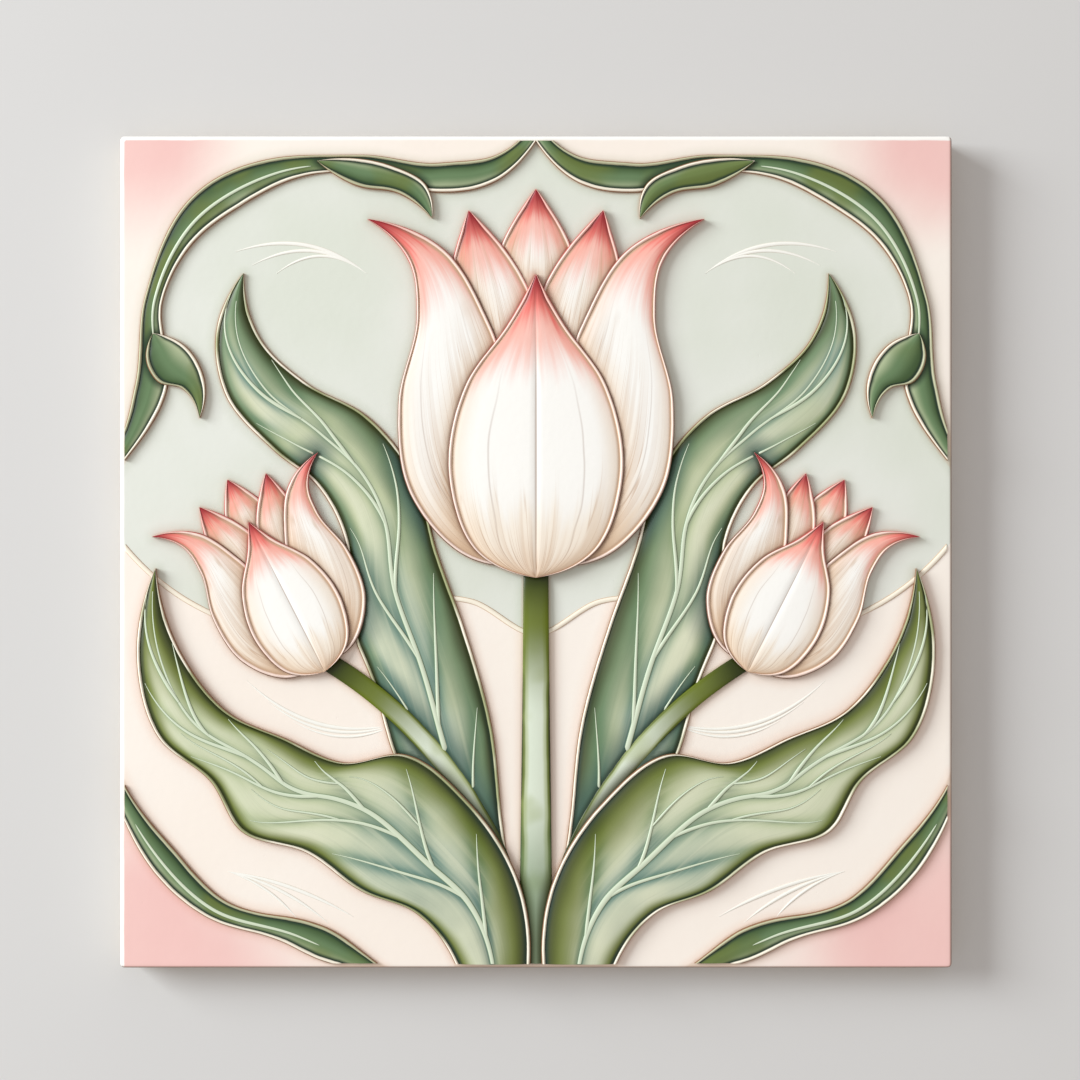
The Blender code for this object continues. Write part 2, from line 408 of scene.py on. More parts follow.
def inside(outline, spots):
    """Which spots lie inside a closed outline."""
    a, b = outline, np.roll(outline, -1, axis=0)
    x, y = spots[:, None, 0], spots[:, None, 1]
    crosses = (a[:, 1] > y) != (b[:, 1] > y)
    with np.errstate(divide="ignore", invalid="ignore"):
        cut = a[:, 0] + (y - a[:, 1]) * (b[:, 0] - a[:, 0]) / (b[:, 1] - a[:, 1])
    return (crosses & (x < cut)).sum(axis=1) % 2 == 1


def distance_to(parts, spots):
    """Millimetres from each spot to the nearest of these parts' outlines, below zero inside one."""
    flat = spots.reshape(-1, 2)
    if not parts:
        return np.full(spots.shape[:-1], FAR)
    marks = [respaced(np.vstack([part.outline, part.outline[:1]]), MARK_STEP) for part in parts]
    every_mark = np.vstack(marks)
    tree = kdtree.KDTree(len(every_mark))
    for i, (x, y) in enumerate(every_mark):
        tree.insert((x, y, 0), i)
    tree.balance()
    away = np.array([tree.find((x, y, 0))[2] for x, y in flat])
    depth = np.zeros(len(flat))
    for part, own_marks in zip(parts, marks):
        under = inside(part.outline, flat)
        if under.any():
            gaps = np.linalg.norm(flat[under][:, None] - own_marks[None], axis=-1)
            depth[under] = np.maximum(depth[under], gaps.min(axis=1))
    return np.where(depth > 0, -depth, np.minimum(away, FAR)).reshape(spots.shape[:-1])


def picture():
    """Every raised part, from back to front."""
    pairs = [
        ("tall_leaf", tall_leaf(), 0.75, "tall_leaf_glaze", 0.3),
        ("arch_band", strip(ARCH_SPINE, ARCH_WIDTHS), 0.9, "band_glaze", 0.05),
        ("low_band", strip(LOW_SPINE, LOW_WIDTHS), 0.9, "band_glaze", 0.05),
        ("side_stem", side_stem(), 1.0, "stem_glaze", 0, False),
        ("side_leaflet", side_leaflet(), 1.15, "band_glaze", 0.05),
        ("top_leaflet", top_leaflet(), 1.15, "band_glaze", 0.05),
        ("low_leaf", low_leaf(), 1.5, "low_leaf_glaze", 0.3),
    ]
    finishes = ["rear_petal_glaze"] * 3 + ["petal_glaze"] * 2 + ["front_petal_glaze"]
    names = ["back", "left_inner", "right_inner", "left_side", "right_side", "front"]
    crowns = [0.1, 0.1, 0.1, 0.2, 0.2, 0.3]
    blooms = list(zip(names, tulip(), finishes, crowns))
    for (name, pair, finish, crown), rise in zip(blooms, SIDE_BLOOM_RISES):
        leaned = tuple(placed(edge, SIDE_BLOOM_AT, SIDE_BLOOM_SCALE, SIDE_BLOOM_LEAN) for edge in pair)
        pairs.append((f"small_{name}_petal", leaned, rise, finish, crown * SIDE_BLOOM_CROWN))
    parts = []
    for name, (left, right), *facts in pairs:
        parts.append(Part(name + "_right", (left, right), *facts))
        parts.append(Part(name + "_left", (mirrored(left), mirrored(right)), *facts))
    parts.append(Part("centre_stem", centre_stem(), 1.2, "stem_glaze", 0, False))
    for (name, pair, finish, crown), rise in zip(blooms, CENTRE_BLOOM_RISES):
        upright = tuple(placed(edge, CENTRE_BLOOM_AT, CENTRE_BLOOM_SCALE, 0) for edge in pair)
        parts.append(Part(f"large_{name}_petal", upright, rise, finish, crown))
    for part in parts:
        low, high = part.outline.min(0), part.outline.max(0)
        for other in parts:
            apart = (other.outline.min(0) > high).any() or (other.outline.max(0) < low).any()
            if other.rise > part.rise and not apart:
                part.fronts.append(other)
    return parts


def side_stem():
    return strip([(2.5, -EDGE), (8, -54), (21, -34), (40, -19)], [(0, 2.3), (1, 1.7)])


def centre_stem():
    return strip([(0, -EDGE), (0, -35), (0, 0)], [(0, 3.0), (1, 2.3)])


def pick(*pieces):
    """Selects these pieces and no others, and makes the first one active."""
    bpy.ops.object.select_all(action="DESELECT")
    for piece in pieces:
        piece.select_set(True)
    if pieces:
        bpy.context.view_layer.objects.active = pieces[0]


def closed_grid(name, places, seat, lip=0, **attributes):
    """A closed piece whose upper face is a grid of places (along, across, xyz), with walls down to the seat.

    With a lip, the walls' lower edge turns in by this much before the piece is closed."""
    rows, columns = places.shape[:2]
    pick()
    bpy.ops.mesh.primitive_grid_add(x_subdivisions=columns - 1, y_subdivisions=rows - 1, size=2)
    piece = bpy.context.object
    piece.name = piece.data.name = name
    piece.data.vertices.foreach_set("co", (places * MM).astype(np.float32).ravel())
    for key, values in attributes.items():
        layer = piece.data.attributes.new(key, "FLOAT", "POINT")
        layer.data.foreach_set("value", np.broadcast_to(values, (rows, columns)).astype(np.float32).ravel())
    bpy.ops.object.mode_set(mode="EDIT")
    bpy.ops.mesh.select_mode(type="EDGE")
    bpy.ops.mesh.select_all(action="SELECT")
    bpy.ops.mesh.remove_doubles(threshold=WELD * MM)
    bpy.ops.mesh.select_all(action="DESELECT")
    bpy.ops.mesh.select_non_manifold()
    bpy.ops.mesh.extrude_region_move()
    bpy.ops.transform.resize(value=(1, 1, 0), center_override=(0, 0, seat * MM))
    if lip:
        bpy.ops.mesh.extrude_region_move()
        inwards = 1 - lip / HALF
        bpy.ops.transform.resize(value=(inwards, inwards, 1), center_override=(0, 0, 0))
        bpy.ops.transform.translate(value=(0, 0, lip * MM))
    bpy.ops.mesh.edge_face_add()
    bpy.ops.mesh.select_all(action="SELECT")
    bpy.ops.mesh.normals_make_consistent(inside=False)
    bpy.ops.object.mode_set(mode="OBJECT")
    return piece


def trim_to_field(piece, inset=0.0):
    """Cuts off what runs past the picture field, less this inset, and closes the cut."""
    edge = (FIELD - inset) * MM
    if max(abs(v.co[k]) for v in piece.data.vertices for k in (0, 1)) <= edge:
        return
    bpy.ops.object.mode_set(mode="EDIT")
    for way in ((1, 0, 0), (-1, 0, 0), (0, 1, 0), (0, -1, 0)):
        bpy.ops.mesh.select_all(action="SELECT")
        spot = tuple(edge * k for k in way)
        bpy.ops.mesh.bisect(plane_co=spot, plane_no=way, use_fill=True, clear_outer=True, threshold=1e-7)
    bpy.ops.object.mode_set(mode="OBJECT")


def finish_piece(piece, finish, sharp=PART_SHARP):
    piece.data.materials.clear()
    piece.data.materials.append(FINISHES[finish])
    pick(piece)
    bpy.ops.object.shade_smooth_by_angle(angle=math.radians(sharp))
    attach(piece, "root")
    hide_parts(TILE)


def stations(part, share):
    """Positions across a part, from -1 to 1, close together at the slip lines."""
    half = part.half_width(share)
    squeeze = np.clip(half / RIM_SPAN, 1e-6, 1)
    rim = np.array(RIM_STATIONS)[None, :] * squeeze[:, None]
    inner = rim[:, -1:] + (half[:, None] - rim[:, -1:]) * np.array(INNER_SHARES)[None, :]
    from_edge = np.hstack([rim, inner]) / np.maximum(half, 1e-6)[:, None]
    near = from_edge - 1
    return np.hstack([near, -near[:, -2::-1]])


def model_part(part):
    share = np.linspace(0, 1, len(part.left))
    across = stations(part, share)
    if not part.beaded:
        across = np.sin(np.linspace(-1, 1, STEM_STATIONS) * math.pi / 2)
        across = np.broadcast_to(across, (len(share), STEM_STATIONS))
    along = np.broadcast_to(share[:, None], across.shape)
    places, tuck = part.surface(along, across)
    marks = {"along": along, "across": across, "rim": part.rim(along, across), "tuck": tuck}
    piece = closed_grid(part.name, places, SEAT, **marks, lobe=part.lobe(along, across))
    trim_to_field(piece, TRIM_STEP * (CENTRE_BLOOM_RISES[-1] - part.rise))
    finish_piece(piece, part.finish)


def raised_line(name, places, half_widths, lift):
    """A closed half-round line of slip along places on a surface, with its own half width at each."""
    way = np.gradient(places[:, :2], axis=0)
    way /= np.maximum(np.linalg.norm(way, axis=1), 1e-9)[:, None]
    side = np.column_stack([-way[:, 1], way[:, 0], np.zeros(len(way))])
    across = np.sin(np.linspace(-1, 1, LINE_STATIONS) * math.pi / 2)
    wide = np.asarray(half_widths)[:, None]
    grid = places[:, None, :] + side[:, None, :] * (wide * across)[..., None]
    crest = lift * np.sqrt(np.clip(1 - across**2, 0, 1)) - LINE_SUNK
    grid[..., 2] += crest * np.clip(wide / max(half_widths), LINE_LEAST, 1)
    along = np.linspace(0, 1, len(places))[:, None]
    seat = min(grid[..., 2].min() - LINE_ROOT, BODY_THICK - 2 * LINE_ROOT)
    return closed_grid(name, grid, seat, along=along, across=across[None, :])


def joined(name, pieces):
    pick(*pieces)
    bpy.ops.object.join()
    pieces[0].name = pieces[0].data.name = name
    return pieces[0]


def tapered(count, thick):
    """Half widths of a drawn line: from its start, swelling a little, down to a fine end."""
    t = np.linspace(0, 1, count)
    swell = LINE_START + (1 - LINE_START) * np.minimum(t / LINE_FULL_AT, 1)
    return thick * swell * (1 - (1 - LINE_END) * t**LINE_TAPER)


def vein(part, name, start, end, sides, thick):
    """A vein over the leaf between two shares of its length, from and to these places across it."""
    count = max(2 * VEIN_LEAST_POINTS, round((end - start) * len(part.left)))
    t = np.linspace(0, 1, count)
    share = start + (end - start) * t
    across = sides[0] + (sides[1] - sides[0]) * t**VEIN_BOW
    places, tuck = part.surface(share, across)
    places[:, 2] -= VEIN_TUCK * np.clip(VEIN_TUCK_FROM - tuck, 0, 1)
    shown = np.flatnonzero(tuck > VEIN_HIDDEN)
    if len(shown) < VEIN_LEAST_POINTS:
        return []
    kept = slice(shown[0], shown[-1] + 1)
    return [raised_line(name, places[kept], tapered(count, thick)[kept], VEIN_LIFT)]


def leaf_veins(part):
    """A midrib and side veins, alternating from one side to the other, with a short fork on the second and
    third pairs of a low leaf.
    """
    pairs, first, last, span, reach = part.veins
    lines = vein(part, "midrib", *MIDRIB_SPAN, (0, 0), MIDRIB_HALF)
    for i in range(pairs):
        for side, shift in ((-1, 0.0), (1, 0.5)):
            start = first + (last - first) * (i + shift) / pairs
            end = min(start + span, VEIN_LAST)
            lines += vein(part, "side_vein", start, end, (0, side * reach), VEIN_HALF)
            if i in (1, 2) and part.name.startswith("low"):
                fork = FORK_AT**VEIN_BOW * side * reach
                start, end = start + FORK_AT * span, start + FORK_END * span
                lines += vein(part, "fork", start, end, (fork, FORK_WIDENS * fork), FORK_HALF)
    piece = joined(part.name + "_veins", lines)
    trim_to_field(piece, LINE_INSET)
    finish_piece(piece, "vein_slip", sharp=LINE_SHARP)


def band_ridge(part, start, end):
    """The pale ridge along the inner side of a corner band."""
    count = round((end - start) * len(part.left))
    share = np.linspace(start, end, count)
    places, _ = part.surface(share, np.full(count, RIDGE_ACROSS))
    ends = np.sin(np.linspace(0, 1, count) * math.pi) ** RIDGE_TAPER
    piece = raised_line(part.name + "_ridge", places, RIDGE_HALF * np.maximum(ends, RIDGE_END), RIDGE_LIFT)
    trim_to_field(piece, LINE_INSET)
    finish_piece(piece, "vein_slip", sharp=LINE_SHARP)


def ground_line(name, line, half_widths, lift, finish):
    places = np.column_stack([line, np.full(len(line), BODY_THICK)])
    piece = raised_line(name, places, half_widths, lift)
    trim_to_field(piece, LINE_INSET)
    finish_piece(piece, finish, sharp=LINE_SHARP)


def horizon_lines():
    line = smooth(HORIZON, ALONG_STEP)
    ground_line("horizon_line", line, np.full(len(line), HORIZON_HALF), HORIZON_LIFT, "horizon_slip")


def ripples():
    """Light strokes of slip drawn in the open ground, in small sheaves that fan out from one end."""
    sheaves = {
        "low": ((56.5, -58.5), (47, -61), [(33.5, -66.8), (38, -68), (43.5, -67.5)]),
        "side": ((25.5, -31.5), (36, -32), [(53, -23.5), (49, -27.5), (44.5, -31)]),
        "high": ((31, 51), (40, 56), [(55, 55), (52, 52.5), (47.5, 51)]),
    }
    for place, (root, bend, tips) in sheaves.items():
        for side, flip in (("right", 1), ("left", -1)):
            for i, tip in enumerate(tips):
                middle = (0.6 * bend[0] + 0.2 * tip[0] + 0.2 * root[0], bend[1] - RIPPLE_SPREAD * i)
                line = smooth([root, middle, tip], 0.5) * (flip, 1)
                thick = RIPPLE_HALF * (1 - RIPPLE_THINS * i)
                swell = np.sin(np.linspace(0, math.pi, len(line))) ** 0.8 * thick
                name = f"{place}_ripple_{side}_{i + 1}"
                ground_line(name, line, np.maximum(swell, 0.05), RIPPLE_LIFT, "ripple_slip")


def ground():
    """The glazed face and its rounded edge, down to where the glaze ends on the sides."""
    inner = np.arange(0, FIELD - 0.4, GROUND_STEP)
    arris = HALF - ARRIS * (1 - np.sin(np.linspace(0.15, 1, 8) * math.pi / 2))
    outer = [FIELD - 0.2, HALF - ARRIS, *arris]
    positive = np.concatenate([inner, outer])
    lines = np.concatenate([-positive[:0:-1], positive])
    x, y = np.meshgrid(lines, lines)
    ring = np.maximum(abs(x), abs(y))
    spots = np.stack([x, y], -1)
    core = np.clip(spots, CORNER - HALF, HALF - CORNER)
    out = spots - core
    length = np.linalg.norm(out, axis=-1, keepdims=True)
    radius = np.clip(ring - (HALF - CORNER), 0, None)[..., None]
    spots = np.where(radius > 0, core + out / np.maximum(length, 1e-9) * radius, spots)
    fall = np.clip((ring - (HALF - ARRIS)) / ARRIS, 0, 1)
    z = BODY_THICK - ARRIS * (1 - np.sqrt(1 - fall**2))
    z += GROUND_WAVE * (np.sin(x / 9 + 1) * np.sin(y / 11) + np.sin(x / 17 + y / 13)) * (1 - fall)
    near = distance_to(PARTS, spots)
    z += MENISCUS * np.exp(-np.clip(near, 0, None) / MENISCUS_REACH) * (1 - fall)
    horizon = smooth(HORIZON, 0.5)
    sky = y - np.interp(x, horizon[:, 0], horizon[:, 1])
    corner = np.zeros(x.size, bool)
    for flip in (1, -1):
        for spine, far in ((ARCH_SPINE, (HALF + 1, HALF + 1)), (LOW_SPINE, (HALF + 1, -HALF - 1))):
            line = smooth(spine, 1.0)
            region = np.vstack([line, [(line[-1][0], far[1]), far, (far[0], line[0][1])]]) * (flip, 1)
            corner |= inside(region, spots.reshape(-1, 2))
    # lee runs in from the right and bottom edges, where a dark line is painted as shade; rim keeps the white
    # rim, a painted highlight, to the left and top
    lee = HALF - np.maximum(x, -y)
    rim = np.minimum(np.minimum(HALF + x, HALF - y), COLOUR_OVERRUN + lee)
    inward = np.hypot(HALF - abs(x), HALF - abs(y))
    marks = {"sky": sky, "near": near, "inward": inward, "rim": rim, "lee": lee}
    marks["corner"] = corner.reshape(x.shape).astype(float)
    places = np.concatenate([spots, z[..., None]], -1)
    piece = closed_grid("ground_glaze", places, GLAZE_END, LIP, **marks)
    for vertex in piece.data.vertices:
        if abs(vertex.co.z / MM - GLAZE_END) < 0.01:
            px, py = vertex.co.x / MM, vertex.co.y / MM
            sag = math.sin(px * 0.21) + math.sin(py * 0.17 + 2) + 0.5 * math.sin((px + py) * 0.53)
            vertex.co.z += GLAZE_SAG * MM * sag
    finish_piece(piece, "ground_glaze")


def block(name, centre, size):
    """A box of this size round a place, in millimetres."""
    pick()
    bpy.ops.mesh.primitive_cube_add(size=1, location=[k * MM for k in centre], scale=[k * MM for k in size])
    bpy.ops.object.transform_apply(location=True, rotation=True, scale=True)
    made = bpy.context.object
    made.name = made.data.name = name
    return made


def on_a_corner(a, b):
    """Whether an edge between two points stands upright."""
    return abs(a.z - b.z) > MM


def round_the_back(a, b):
    """Whether an edge lies in the tile's back."""
    return max(a.z, b.z) < MM


def round_the_top(a, b):
    """Whether an edge lies in the cutter's top."""
    return min(a.z, b.z) > 0


def rounded(piece, wanted, width, segments):
    """Bevels the edges of a piece whose two ends are wanted."""
    pick(piece)
    bpy.ops.object.mode_set(mode="EDIT")
    bpy.ops.mesh.select_mode(type="EDGE")
    bpy.ops.mesh.select_all(action="DESELECT")
    bpy.ops.object.mode_set(mode="OBJECT")
    points = [v.co for v in piece.data.vertices]
    for edge in piece.data.edges:
        edge.select = wanted(*(points[i] for i in edge.vertices))
    bpy.ops.object.mode_set(mode="EDIT")
    bpy.ops.mesh.bevel(offset=width * MM, segments=segments, affect="EDGES")
    bpy.ops.object.mode_set(mode="OBJECT")


def biscuit_body():
    """The unglazed clay below the glaze, with the keying grooves in its back."""
    side, thick = 2 * (HALF - GLAZE_COAT), BODY_THICK - GLAZE_DEEP
    body = block("biscuit_body", (0, 0, thick / 2), (side, side, thick))
    rounded(body, on_a_corner, CORNER, 5)
    rounded(body, round_the_back, BACK_ARRIS, 2)
    first = -(GROOVES - 1) / 2 * GROOVE_PITCH
    cutter = block("cutter", (first, 0, 0), (GROOVE_WIDTH, GROOVE_LENGTH, 2 * GROOVE_DEPTH))
    rounded(cutter, round_the_top, GROOVE_ROUND, 3)
    row = cutter.modifiers.new("row", "ARRAY")
    row.use_relative_offset = False
    row.use_constant_offset = True
    row.constant_offset_displace = (GROOVE_PITCH * MM, 0, 0)
    row.count = GROOVES
    bpy.ops.object.modifier_apply(modifier="row")
    cut = body.modifiers.new("grooves", "BOOLEAN")
    cut.operation = "DIFFERENCE"
    cut.object = cutter
    bpy.context.view_layer.objects.active = body
    bpy.ops.object.modifier_apply(modifier="grooves")
    bpy.data.objects.remove(cutter)
    finish_piece(body, "biscuit_clay", sharp=BODY_SHARP)


def paint(red, green, blue):
    """A colour from the glaze card, its parts from 0 to 255, as the shader's linear values."""
    parts = [c / 255 for c in (red, green, blue)]
    return (*(c / 12.92 if c <= 0.04045 else ((c + 0.055) / 1.055) ** 2.4 for c in parts), 1)


SAGE = paint(231, 234, 226)
SAGE_DEEP = paint(218, 224, 210)
SAGE_POOL_SHADE = paint(206, 212, 194)
CREAM = paint(253, 245, 236)
CREAM_DEEP = paint(250, 236, 223)
BLUSH = paint(248, 207, 201)
BLUSH_DEEP = paint(241, 191, 187)
WHITE = paint(255, 254, 250)
PEARL = paint(251, 250, 243)
LINEN = paint(230, 224, 210)
IVORY = paint(253, 244, 230)
PEACH = paint(244, 210, 190)
SAND = paint(240, 220, 198)
TAN = paint(203, 171, 141)
SEPIA = paint(141, 102, 73)
UMBER = paint(112, 69, 46)
PALE_SLIP = paint(252, 228, 216)
CREAM_SLIP = paint(252, 244, 226)
OLIVE_SLIP = paint(168, 172, 128)
PINK = paint(251, 198, 186)
ROSE = paint(238, 132, 124)
RED = paint(208, 58, 62)
CRIMSON = paint(150, 18, 34)
GARNET = paint(196, 84, 84)
PALE_STEM = paint(220, 230, 212)
PALE_LEAF = paint(221, 225, 197)
PALE_VEIN = paint(214, 226, 201)
CELADON = paint(189, 200, 162)
MOSS = paint(158, 171, 101)
OLIVE = paint(108, 122, 56)
YELLOW_OLIVE = paint(98, 112, 0)
DARK_OLIVE = paint(44, 55, 0)
TEAL = paint(117, 150, 137)
DEEP_TEAL = paint(60, 96, 90)
FERN = paint(103, 131, 92)
FOREST = paint(65, 91, 52)
BOTTLE = paint(30, 54, 37)
CLAY = paint(224, 210, 190)
CLAY_DARK = paint(208, 190, 166)


def feed(socket, value):
    """Links another node's output to a socket, or sets the socket to a plain value; None leaves it alone."""
    if isinstance(value, bpy.types.NodeSocket):
        socket.id_data.links.new(value, socket)
    elif value is not None:
        socket.default_value = value


def wire(tree, kind, *inputs, out=0, **settings):
    """A new node of this kind, fed with these inputs in order; returns one of its outputs."""
    made = tree.nodes.new("ShaderNode" + kind)
    for key, value in settings.items():
        setattr(made, key, value)
    for socket, value in zip(made.inputs, inputs):
        feed(socket, value)
    return made.outputs[out]


def maths(operation, value, *others, clamp=False):
    """A sum on a value, in the tree that the value comes from, as with all the helpers below fed by one."""
    return wire(value.id_data, "Math", value, *others, operation=operation, use_clamp=clamp)


def times(value, by, plus=0.0, clamp=False):
    """The value times another, plus a third."""
    return maths("MULTIPLY_ADD", value, by, plus, clamp=clamp)


def mixed(share, first, second, blend="MIX"):
    node = share.id_data.nodes.new("ShaderNodeMix")
    node.data_type = "RGBA"
    node.blend_type = blend
    for number, value in zip(MIX_SOCKETS, (share, first, second)):
        feed(node.inputs[number], value)
    return node.outputs[2]


def ramp(value, *stops):
    """A colour run over a value, from (place, colour) stops."""
    node = value.id_data.nodes.new("ShaderNodeValToRGB")
    node.color_ramp.interpolation = "EASE"
    marks = node.color_ramp.elements
    while len(marks) < len(stops):
        marks.new(0.5)
    for mark, (place, colour) in zip(marks, stops):
        mark.position, mark.color = place, colour
    feed(node.inputs[0], value)
    return node.outputs[0]


def fade(value, full, gone, high=1.0, low=0.0):
    """Eased from high where the value is at full, to low where it is at gone."""
    return wire(value.id_data, "MapRange", value, full, gone, high, low, interpolation_type="SMOOTHSTEP")


def coated(colour, *coats):
    """A colour under more coats, each (measure, where it is full, where it is gone, strength, colour)."""
    for value, full, gone, strength, coat, *blend in coats:
        colour = mixed(fade(value, full, gone, strength), colour, coat, *blend)
    return colour


def measures(tree, names):
    """What the mesh carries under these names at each of its points."""
    return [wire(tree, "Attribute", attribute_name=name, out=2) for name in names.split()]


def place_on_tile(tree):
    return wire(tree, "TexCoord", out=OBJECT_OUTPUT)


def pattern(place, scale, detail=2.0, rough=0.5):
    return wire(place.id_data, "TexNoise", place, None, scale, detail, rough, noise_dimensions="3D")


def cloud(tree, scale, detail=2.0, rough=0.5):
    """Soft unevenness that lies still on the tile."""
    return pattern(place_on_tile(tree), scale, detail, rough)


def new_group(name, takes, gives):
    """A node group, from its inputs' values and its outputs' names, as (tree, inputs, output node)."""
    tree = bpy.data.node_groups.new(name, "ShaderNodeTree")
    for label, default in takes.items():
        kind = "NodeSocketColor" if isinstance(default, tuple) else "NodeSocketFloat"
        tree.interface.new_socket(label, in_out="INPUT", socket_type=kind).default_value = default
    for label in gives:
        kind = "NodeSocketColor" if label == "Color" else "NodeSocketFloat"
        tree.interface.new_socket(label, in_out="OUTPUT", socket_type=kind)
    return tree, tree.nodes.new("NodeGroupInput").outputs, tree.nodes.new("NodeGroupOutput")


def give(end, *values):
    for socket, value in zip(end.inputs, values):
        end.id_data.links.new(value, socket)


def placed_group(tree, name, **values):
    """A group placed in a material and fed by its inputs' names; returns its outputs."""
    node = tree.nodes.new("ShaderNodeGroup")
    node.node_tree = bpy.data.node_groups[name]
    for label, value in values.items():
        feed(node.inputs[label.replace("_", " ").capitalize()], value)
    return node.outputs


def glaze_finish_group():
    """The fired surface that every glaze has: slow mottling, a faint orange peel and a few pinholes."""
    tree, _, end = new_group("glaze_finish", {}, ("Roughness", "Height"))
    mottle = cloud(tree, MOTTLE_SCALE, 3.0)
    peel = cloud(tree, PEEL_SCALE, 1.0)
    holes = wire(tree, "TexVoronoi", place_on_tile(tree), None, PINHOLE_SCALE, feature="F1")
    few = maths("GREATER_THAN", cloud(tree, FEW_PINHOLES_SCALE, 0.0), PINHOLES_ABOVE)
    pit = times(fade(holes, 0.0, PINHOLE_WIDTH), few)
    height = times(mottle, 0.5, times(peel, 0.25))
    height = maths("SUBTRACT", height, times(pit, 0.5))
    give(end, times(mottle, ROUGHNESS_SPREAD, ROUGHNESS), height)


def slip_line_group():
    """The raised slip line round a part: a dark foot, the pale line, and a pooled line just inside."""
    takes = {"Rim": 5.0, "Surface": WHITE, "Foot": UMBER, "Line": PALE_SLIP, "Pool": SEPIA}
    takes["Pool reach"] = 0.6
    tree, given, end = new_group("slip_line", takes, ("Color",))
    shake = times(cloud(tree, LINE_SHAKE_SCALE), 0.12, -0.06)
    rim = maths("ADD", given["Rim"], shake)
    reach = maths("ADD", given["Pool reach"], BEAD)
    colour = mixed(fade(rim, 0.78, reach), given["Surface"], given["Pool"])
    colour = mixed(fade(rim, 0.58, 0.74), colour, given["Line"])
    give(end, mixed(fade(rim, 0.1, 0.24), colour, given["Foot"]))


def brush_streaks_group():
    """Strokes of a fine brush, drawn out along a part: soft streaks, a broad wash and fine hair lines."""
    takes = {"Along": 0.5, "Across": 0.0, "Seed": 0.0}
    tree, given, end = new_group("brush_streaks", takes, ("Streak", "Wash", "Hairs"))

    def stroke(close, slow):
        across, along = times(given["Across"], close), times(given["Along"], slow)
        return wire(tree, "CombineXYZ", across, along, given["Seed"])

    streak = pattern(stroke(3.2, 0.9), 2.2, 3.0, 0.6)
    wash = pattern(stroke(4.0, 0.35), 2.6, 0.0)
    ridge = times(pattern(stroke(5.0, 0.5), 3.0, 0.0), 1.0, -0.5)
    give(end, streak, wash, fade(maths("ABSOLUTE", ridge), 0.0, 0.03))


def petal_lines_group():
    """Fine lines painted along a petal: one on each side, and a midline as strong as asked for."""
    takes = {"Along": 0.5, "Across": 0.0, "Midline": 0.0}
    tree, given, end = new_group("petal_lines", takes, ("Share",))
    walk = wire(tree, "CombineXYZ", times(given["Along"], 3.0), given["Across"], None)
    sway = times(pattern(walk, 1.5, 1.0), 0.16, -0.08)
    side = maths("ABSOLUTE", given["Across"])
    off = maths("ABSOLUTE", maths("SUBTRACT", maths("ADD", side, sway), SIDE_LINE_AT))
    both = times(fade(off, 0.0, 0.02, 0.32), fade(given["Along"], 0.45, 0.8))
    strong = times(given["Midline"], fade(given["Along"], 0.6, 0.95))
    give(end, maths("MAXIMUM", both, times(fade(side, 0.0, 0.022), strong)))


def glaze(name, bump=0.25, coat=0.25, sheen=0.5):
    """A glazed material, its tree and the shader's colour socket, with the shared finish wired in."""
    material = bpy.data.materials.new(name)
    material.use_nodes = True
    tree = material.node_tree
    finish = placed_group(tree, "glaze_finish")
    relief = tree.nodes.new("ShaderNodeBump")
    relief.inputs["Strength"].default_value = bump
    relief.inputs["Distance"].default_value = BUMP_DEPTH
    tree.links.new(finish["Height"], relief.inputs["Height"])
    shader = tree.nodes["Principled BSDF"].inputs
    tree.links.new(finish["Roughness"], shader["Roughness"])
    tree.links.new(relief.outputs[0], shader["Normal"])
    shader["Specular IOR Level"].default_value = sheen
    shader["Coat Weight"].default_value = coat
    shader["Coat Roughness"].default_value = COAT_ROUGHNESS
    return material, tree, shader["Base Color"]


def slip_lined(tree, base, **tones):
    """Ends a part's colour with the slip line round its edge."""
    tree.links.new(placed_group(tree, "slip_line", **tones)["Color"], base)


